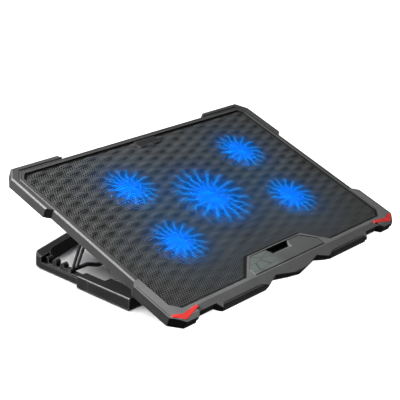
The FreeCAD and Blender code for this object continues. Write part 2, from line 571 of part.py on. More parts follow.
b = new_body("light_button", PAD)
pad(b, -8.3, -5.3, [rect(94.5, 121.8, 99.5, 128.9)])
dress(b, "Fillet", 0.5, lambda e: abs(mid(e).y - 128.9) < 1e-6)

# ------------------------------------------------------------------ pad's feet and lugs
b = new_body("front_foot_strips", PAD)
pad(b, -12.74, S.rim_low, [rect(s0, -133.0, s1, -127.0) for s0, s1 in ((-124.0, -66.0), (66.0, 124.0))])

hy, hz = S.hinge_y, S.hinge_z
# the base hinge and the prop's saddle, from ground heights to the tilted pad
ca, sa = math.cos(a), math.sin(a)


def tilted(y, z):
    return CY + y * ca + z * sa, CZ - y * sa + z * ca


HY, HZ = tilted(hy.v, hz.v)
TY0, TZ0 = tilted(S.foot_y.v, S.foot_z.v)
TZ = TZ0 + S.leg_len.v
print("hinge in the pad's frame %.2f %.2f   prop top %.2f %.2f" % (HY, HZ, TY0, TZ))
for s, nm in ((-1, "left"), (1, "right")):
    b = new_body("hinge_lug_" + nm, PAD)
    x0, x1 = sorted((s * 157.0, s * 180.0))
    pad(b, -6.9, -4.9, [rect(x0, -84.0, x1, -55.8)])
    x0, x1 = sorted((s * 163.5, s * 172.6))
    pad(b, x0, x1, [[(-80.0, -6.9), (HY - 6.5, HZ + 2.0), (HY - 5.2, HZ - 3.2), (HY - 2.2, HZ - 5.6), (HY + 2.2, HZ - 5.6), (HY + 5.2, HZ - 3.2), (HY + 6.5, HZ + 2.0), (-56.2, -6.9)]], role="YZ_Plane")
    cut(b, -220, 220, (), [(HY, HZ, S.hinge_pin_r + 0.02)], role="YZ_Plane")
    b = new_body("hinge_pin_" + nm, PAD)
    x0, x1 = sorted((s * 162.0, s * 189.0))
    pad(b, x0, x1, (), [(HY, HZ, S.hinge_pin_r)], role="YZ_Plane")
    b = new_body("prop_saddle_" + nm, PAD)
    x0, x1 = sorted((s * 168.8, s * 181.8))
    c = 0.7071 * (S.wire_r.v + 0.35)
    ty, tz = TY0 + c, TZ + c
    pad(b, x0, x1, [[(ty + 3.0, tz - 3.0), (ty + 7.0, tz - 3.0), (ty + 10.0, -4.9), (ty - (-4.9 - tz), -4.9)]], role="YZ_Plane")

# ------------------------------------------------------------------ base frame
b = new_body("base_frame", GROUND)
lo = S.arm_low
outer = [(S.arm_out, S.shoe_rear + 0.2), (S.arm_out, q(206.0)), (q(186.6), q(214.0)), (q(180.0), q(220.4)), (q(100.0), q(240.6))]
inn = [(q(100.0), 240.6 - S.bar_width - 0.4), (q(166.0), q(210.6)), (S.arm_in, q(203.0)), (S.arm_in, S.shoe_rear + 0.2)]
pad(b, lo, S.arm_top, [outer + [(-q(x), y) for x, y in reversed(outer)] + [(-q(x), y) for x, y in reversed(inn)] + inn])
high = [(S.arm_out, q(203.4)), (S.arm_out, q(206.0)), (q(186.6), q(214.0)), (q(180.0), q(220.4)), (q(100.0), q(240.6))]
hin = [(q(100.0), 240.6 - S.bar_width - 0.4), (q(166.0), q(210.6)), (S.arm_in, q(203.4))]
pad(b, S.arm_top, S.bar_top, [high + [(-q(x), y) for x, y in reversed(high)] + [(-q(x), y) for x, y in reversed(hin)] + hin])
dress(b, "Chamfer", 1.6, lambda e: abs(e.BoundBox.ZMin - S.bar_top.v) < 1e-6 and abs(e.BoundBox.ZMax - S.bar_top.v) < 1e-6
      and e.Length > 5 and abs(mid(e).x) < S.arm_out.v - 0.1 and mid(e).y > 206.1)
# slots in the arms that hold the notched racks
for s in (1, -1):
    x0, x1 = sorted((s * (S.rack_in.v - 0.15), s * (S.rack_out.v + 0.15)))
    cut(b, 3.0, 18.0, [rect(x0, 145.6, x1, 204.9)])
# raised lip along the outer edge of the arms
for s in (1, -1):
    x0, x1 = sorted((s * S.lip_in.v, s * S.arm_out.v))
    pad(b, S.arm_top - 1.0, S.lip_top, [rect(x0, S.shoe_rear + 0.2, x1, 204.4)])

for s, nm in ((-1, "left"), (1, "right")):
    b = new_body("hinge_shoe_" + nm, GROUND)
    x0, x1 = sorted((s * S.shoe_in.v, s * S.shoe_out.v))
    pad(b, x0, x1, [[(S.hinge_y - 8.0, q(2.0)), (S.hinge_y - 6.8, lo), (S.shoe_rear, lo), (S.shoe_rear, S.shoe_top - 1.4),
                     (S.shoe_rear - 1.4, S.shoe_top), (S.hinge_y - 7.2, S.shoe_top), (S.hinge_y - 8.0, S.shoe_top - 0.8)]], role="YZ_Plane")
    xo = s * S.shoe_out.v
    dress(b, "Chamfer", 0.6, lambda e: abs(mid(e).x - xo) < 1e-6 and abs(mid(e).z - S.shoe_top.v) < 1e-6)
    # side panel, a step proud of the outer face
    x0, x1 = sorted((xo, xo + s * S.panel_step.v))
    pad(b, x0, x1, [[(S.hinge_y - 7.4, q(2.0)), (q(127.0), q(2.0)), (q(127.0), S.shoe_top - 0.9), (S.hinge_y - 7.4, S.shoe_top - 0.9)]], role="YZ_Plane")
    # blind bore for the hinge pin
    x0, x1 = sorted((s * 160.0, s * 189.4))
    cut(b, x0, x1, (), [(S.hinge_y, S.hinge_z, S.hinge_pin_r + S.hinge_fit)], role="YZ_Plane")
    # channel that takes the prop's leg when folded
    x0, x1 = sorted((s * 170.0, s * 182.2))
    cut(b, S.arm_top, 20, [rect(x0, 114.8, x1, 150.0)])
    # hollow underneath
    x0, x1 = sorted((s * 176.5, s * 189.0))
    cut(b, lo, q(8.5), [rect(x0, 105.0, x1, 113.2)])

    b = new_body("notch_rack_" + nm, GROUND)
    x0, x1 = sorted((s * S.rack_in.v, s * S.rack_out.v))
    c = S.foot_y
    prof = [(q(146.0), q(3.05)), (q(146.0), q(5.0)), (q(147.0), q(5.6)), (c - 3.6, q(5.6)), (c - 2.8, q(5.25)), (c + 2.4, q(5.25)), (c + 3.0, q(6.6)), (c + 3.1, q(8.0)), (c + 3.7, q(8.5))]
    for k in range(3):
        t = c + 11.8 + S.notch_pitch * k
        low = q(8.3 if k == 0 else 6.3)
        prof += [(t - 3.0, low), (t - 2.6, q(11.2)), (t - 1.4, q(12.5)), (t + 0.4, q(12.8)), (t + 2.0, q(12.0)), (t + 2.7, q(10.4))]
        if k < 2:
            prof += [(t + 2.4, q(7.4)), (t + 3.2, q(6.3))]
        else:
            prof += [(q(204.6), q(8.4)), (q(204.6), q(3.05))]
    pad(b, x0, x1, [prof], role="YZ_Plane")

b = new_body("base_foot_pads", GROUND)
pad(b, 0, S.arm_low, (), [(s * 182.7, 98.0, 6.0) for s in (1, -1)] + [(s * 179.5, 211.0, 5.5) for s in (1, -1)])


# ------------------------------------------------------------------ prop
def rod(points, radius, bend):
    """Round bar along a path of straight runs joined by tangent arcs."""
    edges = []
    last = points[0]
    for i in range(1, len(points) - 1):
        p, u, w2 = points[i], (points[i - 1] - points[i]).normalize(), (points[i + 1] - points[i]).normalize()
        ang = u.getAngle(w2)
        d = bend / math.tan(ang / 2)
        p0, p1 = p + u * d, p + w2 * d
        c = p + (u + w2).normalize() * (bend / math.sin(ang / 2))
        m0 = c + (p - c).normalize() * bend
        edges.append(Part.LineSegment(last, p0).toShape())
        edges.append(Part.Arc(p0, m0, p1).toShape())
        last = p1
    edges.append(Part.LineSegment(last, points[-1]).toShape())
    path = Part.Wire(edges)
    ring = Part.Wire([Part.Circle(points[0], points[1] - points[0], radius).toShape()])
    return path.makePipeShell([ring], True, True)


fy, fz, fr_ = S.foot_y.v, S.foot_z.v, S.foot_r.v
bar = [V(-183.0, fy, fz), V(-157.0, fy, fz), V(-143.0, fy - 1.5, 3.3), V(143.0, fy - 1.5, 3.3), V(157.0, fy, fz), V(183.0, fy, fz)]
cross = rod(bar, fr_, 12.0)
feature("prop_crossbar", cross, GROUND)
L = S.leg_len.v
up = V(0, -sa, ca)
foot = V(0, fy, fz)
for s, nm in ((-1, "left"), (1, "right")):
    def p(x, u):
        return V(s * x, foot.y, foot.z) + up * u
    loop = rod([p(178.6, 0.4), p(179.0, L), p(171.4, L), p(172.6, 0.4)], S.wire_r.v, 2.6)
    feature("prop_leg_" + nm, loop.cut(cross), GROUND)

# ------------------------------------------------------------------ write
doc.recompute()
bad = []
for o in doc.Objects:
    if any(w in o.State for w in ("Invalid", "Error")):
        bad.append(o.Name)
for p in parts:
    if p.Shape.isNull() or not p.Shape.isValid():
        bad.append(p.Label + " shape")
if bad:
    raise RuntimeError("failed: " + ", ".join(bad))
for p in parts:
    p.Shape.exportStep("parts/%s.step" % p.Label)
    bb = p.Shape.BoundBox
    print("%-26s solids %d  vol %10.1f  x %7.1f %7.1f  y %7.1f %7.1f  z %7.1f %7.1f" % (
        p.Label, len(p.Shape.Solids), p.Shape.Volume, bb.XMin, bb.XMax, bb.YMin, bb.YMax, bb.ZMin, bb.ZMax))
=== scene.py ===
import bpy, bmesh
import json
import math
import numpy as np
from mathutils import Matrix, Vector, Euler

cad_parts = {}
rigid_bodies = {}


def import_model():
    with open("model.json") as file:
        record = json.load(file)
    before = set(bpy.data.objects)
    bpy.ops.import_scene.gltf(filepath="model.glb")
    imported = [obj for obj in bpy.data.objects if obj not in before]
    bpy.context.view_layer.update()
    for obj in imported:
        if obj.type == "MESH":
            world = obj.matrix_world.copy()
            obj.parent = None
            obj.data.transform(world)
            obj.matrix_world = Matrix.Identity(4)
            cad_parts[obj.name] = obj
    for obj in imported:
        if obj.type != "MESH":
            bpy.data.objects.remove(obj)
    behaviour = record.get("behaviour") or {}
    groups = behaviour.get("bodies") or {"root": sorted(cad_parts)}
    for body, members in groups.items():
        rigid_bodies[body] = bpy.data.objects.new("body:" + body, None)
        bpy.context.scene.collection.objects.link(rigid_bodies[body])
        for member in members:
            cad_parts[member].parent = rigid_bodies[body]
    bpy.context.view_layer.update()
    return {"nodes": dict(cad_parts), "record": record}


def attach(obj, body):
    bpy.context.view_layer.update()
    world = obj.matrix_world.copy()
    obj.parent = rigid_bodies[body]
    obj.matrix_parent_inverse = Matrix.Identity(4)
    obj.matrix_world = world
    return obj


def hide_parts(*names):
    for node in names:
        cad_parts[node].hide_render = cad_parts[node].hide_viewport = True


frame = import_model()
NODES = frame["nodes"]

# ---------------------------------------------------------------- frames
MM = 0.001
TH = math.radians(19.5)
CA, SA = math.cos(TH), math.sin(TH)
SHIFT = 126.05
CY, CZ = -136.5, -11.5
TY = -(CY * CA - CZ * SA) - SHIFT
TZ = -(CY * SA + CZ * CA)
PAD = Matrix(((1, 0, 0, 0), (0, CA, -SA, TY * MM), (0, SA, CA, TZ * MM), (0, 0, 0, 1)))


def pad_pts(a):
    """Pad-frame millimetres to world metres, for an (n, 3) array."""
    a = np.asarray(a, float)
    out = np.empty_like(a)
    out[:, 0] = a[:, 0]
    out[:, 1] = a[:, 1] * CA - a[:, 2] * SA + TY
    out[:, 2] = a[:, 1] * SA + a[:, 2] * CA + TZ
    return out * MM


# ---------------------------------------------------------------- camera
cam_data = bpy.data.cameras.new("camera")
cam_data.lens = 104.53
cam_data.sensor_width = 36.0
cam_data.clip_start = 0.05
cam = bpy.data.objects.new("camera", cam_data)
bpy.context.scene.collection.objects.link(cam)
C = PAD @ Vector((-0.954019, -0.568737, 0.691418))
X = Vector((0.64924683, -0.69984103, 0.29782727))
Y = Vector((-0.24266453, -0.56171746, -0.79094085))
Z = Vector((0.72082764, 0.44124373, -0.53451987))
R3 = PAD.to_3x3()
X, Y, Z = R3 @ X, R3 @ Y, R3 @ Z
cam.matrix_world = Matrix(((X.x, -Y.x, -Z.x, C.x), (X.y, -Y.y, -Z.y, C.y), (X.z, -Y.z, -Z.z, C.z), (0, 0, 0, 1)))
bpy.context.scene.camera = cam

# ---------------------------------------------------------------- stage and light
scene = bpy.context.scene
scene.view_settings.view_transform = "Standard"
scene.view_settings.look = "None"
world = bpy.data.worlds.new("studio")
scene.world = world
world.use_nodes = True
bg = world.node_tree.nodes["Background"]
bg.inputs[0].default_value = (1.0, 1.0, 1.0, 1.0)
bg.inputs[1].default_value = 0.13


def area(name, loc, target, size, power, color=(1, 1, 1), size_y=None):
    d = bpy.data.lights.new(name, "AREA")
    d.shape = "RECTANGLE"
    d.size = size
    d.size_y = size_y or size
    d.energy = power
    d.color = color
    o = bpy.data.objects.new(name, d)
    scene.collection.objects.link(o)
    o.location = loc
    o.rotation_euler = (Vector(target) - Vector(loc)).to_track_quat("-Z", "Y").to_euler()
    return o


key_light = area("key", (-0.80, 0.42, 0.58), (-0.02, 0, 0.05), 0.36, 60)
top_light = area("top", (-0.62, -0.10, 1.15), (-0.1, -0.05, 0.05), 0.7, 20)
floor_light = area("floor_wash", (0.0, 0.0, 3.0), (0, 0, 0), 5.0, 330)


def floor_material():
    m = bpy.data.materials.new("floor_pale")
    m.use_nodes = True
    nt = m.node_tree
    b = nt.nodes["Principled BSDF"]
    b.inputs["Roughness"].default_value = 0.9
    b.inputs["Specular IOR Level"].default_value = 0.1
    noise = nt.nodes.new("ShaderNodeTexNoise")
    noise.inputs["Scale"].default_value = 3.0
    ramp = nt.nodes.new("ShaderNodeValToRGB")
    ramp.color_ramp.elements[0].color = (0.93, 0.93, 0.93, 1)
    ramp.color_ramp.elements[1].color = (0.97, 0.97, 0.97, 1)
    nt.links.new(noise.outputs["Fac"], ramp.inputs["Fac"])
    nt.links.new(ramp.outputs["Color"], b.inputs["Base Color"])
    return m


me = bpy.data.meshes.new("floor")
s = 6.0
me.from_pydata([(-s, -s, 0), (s, -s, 0), (s, s, 0), (-s, s, 0)], [], [(0, 1, 2, 3)])
floor = bpy.data.objects.new("floor", me)
scene.collection.objects.link(floor)
floor.location = (0, 0, -0.0004)
floor.data.materials.append(floor_material())
floor.visible_diffuse = False
floor.visible_glossy = False


# ---------------------------------------------------------------- materials
class Nodes:
    """A material being wired: short names for the nodes it uses."""

    def __init__(self, name):
        self.m = bpy.data.materials.new(name)
        self.m.use_nodes = True
        self.t = self.m.node_tree
        self.b = self.t.nodes["Principled BSDF"]
        self.co = self.t.nodes.new("ShaderNodeTexCoord").outputs["Object"]

    def new(self, kind, **props):
        n = self.t.nodes.new(kind)
        for k, v in props.items():
            setattr(n, k, v)
        return n

    def link(self, a, b):
        self.t.links.new(a, b)

    def noise(self, scale, detail=3.0, rough=0.55, vec=None):
        n = self.new("ShaderNodeTexNoise")
        n.inputs["Scale"].default_value = scale
        n.inputs["Detail"].default_value = detail
        n.inputs["Roughness"].default_value = rough
        self.link(vec or self.co, n.inputs["Vector"])
        return n.outputs["Fac"]

    def ramp(self, fac, stops):
        r = self.new("ShaderNodeValToRGB")
        e = r.color_ramp.elements
        while len(e) < len(stops):
            e.new(0.5)
        for i, (p, c) in enumerate(stops):
            e[i].position = p
            e[i].color = c if len(c) == 4 else (*c, 1)
        self.link(fac, r.inputs["Fac"])
        return r.outputs["Color"]

    def math(self, op, a, b=None, c=None, clamp=False):
        n = self.new("ShaderNodeMath", operation=op, use_clamp=clamp)
        for i, v in enumerate((a, b, c)):
            if v is None:
                continue
            if isinstance(v, (int, float)):
                n.inputs[i].default_value = v
            else:
                self.link(v, n.inputs[i])
        return n.outputs[0]

    def mix(self, fac, a, b, mode="MIX"):
        n = self.new("ShaderNodeMix", data_type="RGBA", blend_type=mode)
        for i, v in ((0, fac), (6, a), (7, b)):
            if isinstance(v, (int, float)):
                n.inputs[i].default_value = v
            elif isinstance(v, tuple):
                n.inputs[i].default_value = v if len(v) == 4 else (*v, 1)
            else:
                self.link(v, n.inputs[i])
        return n.outputs[2]

    def bump(self, height, strength, distance):
        n = self.new("ShaderNodeBump")
        n.inputs["Strength"].default_value = strength
        n.inputs["Distance"].default_value = distance
        self.link(height, n.inputs["Height"])
        self.link(n.outputs["Normal"], self.b.inputs["Normal"])
        return n

    def wear(self, radius):
        """Mask for the painted highlight: 1 along sharp outer edges, 0 elsewhere and in hollow corners."""
        g = self.new("ShaderNodeNewGeometry")
        bv = self.new("ShaderNodeBevel", samples=4)
        bv.inputs["Radius"].default_value = radius
        dot = self.new("ShaderNodeVectorMath", operation="DOT_PRODUCT")
        self.link(bv.outputs["Normal"], dot.inputs[0])
        self.link(g.outputs["Normal"], dot.inputs[1])
        edge = self.ramp(dot.outputs["Value"], [(0.80, (1, 1, 1)), (0.985, (0, 0, 0))])
        ao = self.new("ShaderNodeAmbientOcclusion", samples=4, only_local=True)
        ao.inputs["Distance"].default_value = 0.0015
        outer = self.ramp(ao.outputs["AO"], [(0.72, (0, 0, 0)), (0.9, (1, 1, 1))])
        return self.math("MULTIPLY", edge, outer)


def plastic(name, dark, light, rough=(0.42, 0.6), grain=1400.0, spec=0.32, edge=0.5, width=0.0007, coat=0.0, over=None, sides=1.0, band=None):
    """Moulded plastic: fine spark-eroded grain, cloudy sheen, outer edges painted paler as a highlight.

    The wall-shade setting, below 1, paints the upright walls that much darker than the textured tops, as painted
    shade, and so it paints all that lies below the given height in the pad's own frame, in mm, as a painted dark lower
    edge."""
    n = Nodes(name)
    cloud = n.noise(38.0, 4.0)
    col = n.ramp(cloud, [(0.3, dark), (0.7, light)])
    fine = n.noise(grain, 2.0, 0.7)
    col = n.mix(0.25, col, n.ramp(fine, [(0.35, tuple(c * 0.55 for c in dark)), (0.7, tuple(c * 1.5 for c in light))]))
    height = fine
    # painted shade: faces turned away from the pad's up direction are darkened as if in shadow
    if sides < 1.0:
        g = n.new("ShaderNodeNewGeometry")
        up = n.new("ShaderNodeVectorMath", operation="DOT_PRODUCT")
        n.link(g.outputs["Normal"], up.inputs[0])
        up.inputs[1].default_value = (0, -SA, CA)
        painted_shade = n.ramp(up.outputs["Value"], [(0.35, (sides, sides, sides)), (0.72, (1, 1, 1))])
        # painted shade: everything below the given pad height is darkened as a dark lower edge
        if band is not None:
            low = n.new("ShaderNodeVectorMath", operation="DOT_PRODUCT")
            n.link(n.co, low.inputs[0])
            low.inputs[1].default_value = (0, -SA, CA)
            base = float(np.dot(pad_pts([(0.0, 0.0, band)])[0], (0, -SA, CA)))
            above = n.math("MULTIPLY_ADD", low.outputs["Value"], 5000.0, -5000.0 * base + 0.5, clamp=True)
            painted_shade = n.mix(1.0, painted_shade, n.ramp(above, [(0.0, (sides, sides, sides)), (1.0, (1, 1, 1))]), "DARKEN")
        col = n.mix(1.0, col, painted_shade, "MULTIPLY")
    if over:
        col, height = over(n, col, fine)
    if edge:
        # painted highlight: outer edges painted paler, up to four times the light tone, broken up by noise
        edge_highlight_amount = n.math("MULTIPLY", n.wear(width), n.math("MULTIPLY_ADD", n.noise(220.0, 3.0), edge * 0.8, edge * 0.5), clamp=True)
        col = n.mix(edge_highlight_amount, col, tuple(min(1.0, c * 4.0 + 0.05) for c in light))
    n.link(col, n.b.inputs["Base Color"])
    n.link(n.math("MULTIPLY_ADD", n.noise(90.0, 3.0), rough[1] - rough[0], rough[0]), n.b.inputs["Roughness"])
    n.b.inputs["Specular IOR Level"].default_value = spec
    n.b.inputs["Coat Weight"].default_value = coat
    n.bump(height, 0.22, 0.00012)
    return n.m


def metal(name, dark, light, rough=(0.25, 0.42), brushed=False, metallic=1.0):
    n = Nodes(name)
    col = n.ramp(n.noise(60.0, 5.0), [(0.3, dark), (0.72, light)])
    n.link(col, n.b.inputs["Base Color"])
    n.b.inputs["Metallic"].default_value = metallic
    vec = None
    if brushed:
        mp = n.new("ShaderNodeMapping")
        mp.inputs["Scale"].default_value = (1.0, 40.0, 40.0)
        n.link(n.co, mp.inputs["Vector"])
        vec = mp.outputs["Vector"]
    fine = n.noise(260.0, 3.0, 0.6, vec)
    n.link(n.math("MULTIPLY_ADD", fine, rough[1] - rough[0], rough[0]), n.b.inputs["Roughness"])
    n.bump(fine, 0.12, 0.0001)
    return n.m


def rubber(name):
    n = Nodes(name)
    col = n.ramp(n.noise(120.0, 4.0), [(0.3, (0.012, 0.012, 0.013)), (0.75, (0.03, 0.03, 0.031))])
    n.link(col, n.b.inputs["Base Color"])
    n.link(n.math("MULTIPLY_ADD", n.noise(300.0), 0.15, 0.78), n.b.inputs["Roughness"])
    n.b.inputs["Specular IOR Level"].default_value = 0.25
    n.bump(n.noise(2500.0, 2.0), 0.3, 0.0001)
    return n.m


FANS = {"center": (3.0, 4.5, 52.0, 17.0), "rear_left": (-80.0, 55.5, 34.5, 13.0), "rear_right": (113.0, 55.5, 34.5, 13.0),
        "front_left": (-96.0, -37.0, 34.5, 13.0), "front_right": (103.0, -37.0, 34.5, 13.0)}


def from_axis(n, x, y):
    """Distance from a fan's axis, height above the blades' middle, and angle round the axis."""
    c = pad_pts([(x, y, -12.0)])[0]
    sub = n.new("ShaderNodeVectorMath", operation="SUBTRACT")
    n.link(n.co, sub.inputs[0])
    sub.inputs[1].default_value = tuple(c)
    parts = []
    for axis in ((1, 0, 0), (0, CA, SA), (0, -SA, CA)):
        dot = n.new("ShaderNodeVectorMath", operation="DOT_PRODUCT")
        n.link(sub.outputs[0], dot.inputs[0])
        dot.inputs[1].default_value = axis
        parts.append(dot.outputs["Value"])
    dx, dy, h = parts
    r = n.math("SQRT", n.math("ADD", n.math("MULTIPLY", dx, dx), n.math("MULTIPLY", dy, dy)))
    return r, h, n.math("ARCTAN2", dy, dx)


def rotor_glow(name, x, y, tip, hub):
    """Clear blue blades lit from within: deep blue hub, upper edges of the blades brightest."""
    n = Nodes(name)
    r, h, a = from_axis(n, x, y)
    u = n.math("DIVIDE", r, tip * MM)
    col = n.ramp(u, [(0.0, (0.0, 0.17, 1.0)), (hub / tip + 0.12, (0.0, 0.19, 1.0)), (0.72, (0.01, 0.32, 1.0)), (1.0, (0.02, 0.42, 0.95))])
    cloud = n.noise(120.0, 3.0)
    rise = n.math("MULTIPLY_ADD", h, 1 / 0.0098, 0.551, clamp=True)
    lit = n.ramp(rise, [(0.0, (0.02, 0.02, 0.02)), (0.6, (0.10, 0.10, 0.10)), (0.80, (0.8, 0.8, 0.8)), (1.0, (1, 1, 1))])
    power = n.ramp(u, [(0.0, (1, 1, 1)), (hub / tip + 0.1, (0.9, 0.9, 0.9)), (0.62, (0.5, 0.5, 0.5)), (0.85, (0.2, 0.2, 0.2)), (1.0, (0.06, 0.06, 0.06))])
    st = n.math("MULTIPLY", n.math("MULTIPLY_ADD", cloud, 0.5, 0.75), n.math("MULTIPLY", lit, power))
    n.link(n.mix(1.0, col, st, "MULTIPLY"), n.b.inputs["Emission Color"])
    n.b.inputs["Emission Strength"].default_value = 4.0
    n.link(n.ramp(cloud, [(0.3, (0.005, 0.05, 0.3)), (0.7, (0.01, 0.10, 0.5))]), n.b.inputs["Base Color"])
    n.link(n.math("MULTIPLY_ADD", cloud, 0.2, 0.6), n.b.inputs["Roughness"])
    n.b.inputs["Specular IOR Level"].default_value = 0.0
    return n.m


def panel_metal(name, glow=True):
    """Black powder coat over the steel sheet. With glow on, the sheet itself glows around each fan as painted fan
    light (emitted haze and rays, base colour tinted blue, less specular); with glow off the coat is painted darker, as
    painted shade.
    """
    n = Nodes(name)
    speck = n.noise(900.0, 3.0, 0.7)
    cloud = n.noise(14.0, 3.0)
    # with glow off, as for the hem, the coat is painted four times darker and less glossy: painted shade along the
    # panel's rim
    k = 1.0 if glow else 0.25
    col = n.ramp(cloud, [(0.3, (0.016 * k, 0.0165 * k, 0.0165 * k)), (0.75, (0.026 * k, 0.0265 * k, 0.0265 * k))])
    col = n.mix(0.35, col, n.ramp(speck, [(0.35, (0.006 * k, 0.006 * k, 0.0062 * k)), (0.7, (0.036 * k, 0.036 * k, 0.0365 * k))]))
    n.link(col, n.b.inputs["Base Color"])
    n.link(n.math("MULTIPLY_ADD", speck, 0.18, 0.56), n.b.inputs["Roughness"])
    n.b.inputs["Specular IOR Level"].default_value = 0.28 if glow else 0.10
    if glow:
        painted_fan_glow = wash = None
        for x, y, tip, hub in FANS.values():
            r, h, a = from_axis(n, x, y)
            count = 18.0 if tip > 50 else 16.0
            u = n.math("DIVIDE", r, tip * MM)
            # painted fan light: blue haze, rays and a bright core emitted by the sheet itself around each fan
            haze = n.ramp(n.math("DIVIDE", u, 2.4), [(0.0, (0.0, 0.045, 0.26)), (0.28, (0.0, 0.040, 0.20)), (0.40, (0.0, 0.026, 0.085)), (0.58, (0.001, 0.013, 0.028)), (1.0, (0, 0, 0))])
            turn = n.math("ADD", n.math("MULTIPLY", a, count), n.math("MULTIPLY", u, 3.4))
            ray = n.ramp(n.math("MULTIPLY_ADD", n.math("COSINE", turn), 0.5, 0.5), [(0.05, (0.14, 0.14, 0.14)), (0.66, (0.40, 0.40, 0.40)), (1.0, (1.3, 1.3, 1.3))])
            solid = n.ramp(u, [(hub / tip - 0.05, (0.9, 0.9, 0.9)), (hub / tip + 0.20, (0.30, 0.30, 0.30)), (0.9, (0.0, 0.0, 0.0))])
            reach = n.ramp(u, [(0.0, (0.0, 0.17, 1.0)), (hub / tip, (0.0, 0.18, 1.0)), (0.55, (0.002, 0.20, 0.75)), (0.78, (0.003, 0.13, 0.38)), (1.0, (0, 0, 0))])
            beam = n.mix(1.0, reach, n.math("MAXIMUM", ray, solid), "MULTIPLY")
            near = n.mix(1.0, haze, beam, "ADD")
            painted_fan_glow = near if painted_fan_glow is None else n.mix(1.0, painted_fan_glow, near, "ADD")
            over = n.ramp(u, [(0.0, (1, 1, 1)), (0.62, (0.9, 0.9, 0.9)), (0.95, (0.35, 0.35, 0.35)), (1.0, (0.3, 0.3, 0.3))])
            spread = n.ramp(n.math("DIVIDE", u, 1.5), [(0.62, (1, 1, 1)), (1.0, (0, 0, 0))])
            over = n.mix(1.0, over, spread, "MULTIPLY")
            wash = over if wash is None else n.mix(1.0, wash, over, "LIGHTEN")
        # painted fan light: base colour tinted blue and specular lowered around each fan
        n.link(n.mix(wash, col, (0.0, 0.003, 0.016)), n.b.inputs["Base Color"])
        n.link(n.math("MULTIPLY_ADD", wash, -0.11, 0.14), n.b.inputs["Specular IOR Level"])
        n.link(painted_fan_glow, n.b.inputs["Emission Color"])
        n.b.inputs["Emission Strength"].default_value = 0.8
    n.bump(speck, 0.25, 0.0001)
    return n.m


def flap_lines(n, col, fine):
    """Faint branching lines pressed into the left part of the flap."""
    v = n.new("ShaderNodeTexVoronoi", feature="DISTANCE_TO_EDGE")
    v.inputs["Scale"].default_value = 62.0
    mp = n.new("ShaderNodeMapping")
    mp.inputs["Scale"].default_value = (0.55, 1.9, 1.0)
    mp.inputs["Rotation"].default_value = (0, 0, 0.35)
    n.link(n.co, mp.inputs["Vector"])
    n.link(mp.outputs["Vector"], v.inputs["Vector"])
    line = n.ramp(v.outputs["Distance"], [(0.0, (1, 1, 1)), (0.05, (0, 0, 0))])
    sep = n.new("ShaderNodeSeparateXYZ")
    n.link(n.co, sep.inputs[0])
    left = n.ramp(n.math("MULTIPLY_ADD", sep.outputs["X"], -12.0, 0.0, clamp=True), [(0.12, (0, 0, 0)), (0.30, (1, 1, 1))])
    m = n.math("MULTIPLY", line, left)
    green = n.mix(n.math("MULTIPLY", left, 0.6), col, (0.066, 0.080, 0.074))
    return n.mix(n.math("MULTIPLY", m, 0.75), green, (0.008, 0.009, 0.009)), n.math("SUBTRACT", fine, n.math("MULTIPLY", m, 1.5))


def hex_lines(n, col, fine):
    """Plain hexagon lattice, as fine grooves."""
    v = n.new("ShaderNodeTexVoronoi", feature="DISTANCE_TO_EDGE")
    v.inputs["Scale"].default_value = 330.0
    v.inputs["Randomness"].default_value = 0.0
    n.link(n.co, v.inputs["Vector"])
    line = n.ramp(v.outputs["Distance"], [(0.0, (1, 1, 1)), (0.08, (0, 0, 0))])
    return n.mix(n.math("MULTIPLY", line, 0.5), col, (0.03, 0.03, 0.031)), n.math("SUBTRACT", fine, line)


M = {}
# painted shade: frame and bezel walls darker than their tops, and the bezel dark below pad height -4.15 mm
M["frame_plastic"] = plastic("frame_plastic_look", (0.018, 0.018, 0.0183), (0.027, 0.027, 0.0274), spec=0.22, edge=0.30, sides=0.55)
M["bezel_plastic"] = plastic("bezel_plastic_look", (0.052, 0.0523, 0.0526), (0.072, 0.0724, 0.0730), rough=(0.38, 0.55), spec=0.25, edge=0.12, sides=0.12, band=-4.15)
M["flap_plastic"] = plastic("flap_plastic_look", (0.034, 0.035, 0.0345), (0.047, 0.048, 0.0475), rough=(0.34, 0.5), edge=0.25, over=flap_lines)
M["dark_plastic"] = plastic("dark_plastic_look", (0.0032, 0.0032, 0.0034), (0.0055, 0.0055, 0.0058), rough=(0.36, 0.5), spec=0.2, edge=1.6, width=0.0006)
M["fan_frame"] = plastic("fan_frame_look", (0.004, 0.006, 0.012), (0.008, 0.012, 0.022), rough=(0.5, 0.65), spec=0.05, edge=0.1)
M["badge"] = plastic("badge_look", (0.006, 0.006, 0.0065), (0.010, 0.010, 0.0105), rough=(0.25, 0.35), edge=0.5, over=hex_lines)
M["red_accent"] = plastic("red_accent_look", (0.29, 0.015, 0.013), (0.41, 0.027, 0.024), rough=(0.28, 0.4), edge=0.0, grain=900.0)
M["rubber"] = rubber("rubber_look")
M["steel"] = metal("steel_look", (0.42, 0.42, 0.43), (0.62, 0.62, 0.64), brushed=True)
M["screw_black"] = metal("screw_black_look", (0.012, 0.012, 0.013), (0.026, 0.026, 0.028), rough=(0.45, 0.6), metallic=0.3)
M["usb_shell"] = metal("usb_shell_look", (0.55, 0.55, 0.57), (0.75, 0.75, 0.77), rough=(0.2, 0.3), brushed=True)
M["copper"] = metal("copper_look", (0.38, 0.14, 0.05), (0.62, 0.28, 0.12), rough=(0.3, 0.5))
M["prop_wire"] = metal("prop_wire_look", (0.012, 0.012, 0.013), (0.022, 0.022, 0.023), rough=(0.35, 0.5), metallic=0.3)
M["pcb"] = plastic("pcb_look", (0.004, 0.06, 0.025), (0.008, 0.10, 0.045), rough=(0.3, 0.4), edge=0.1)
n = Nodes("led_look")
n.link(n.ramp(n.noise(500.0), [(0.3, (0.01, 0.25, 1.0)), (0.7, (0.03, 0.35, 1.0))]), n.b.inputs["Emission Color"])
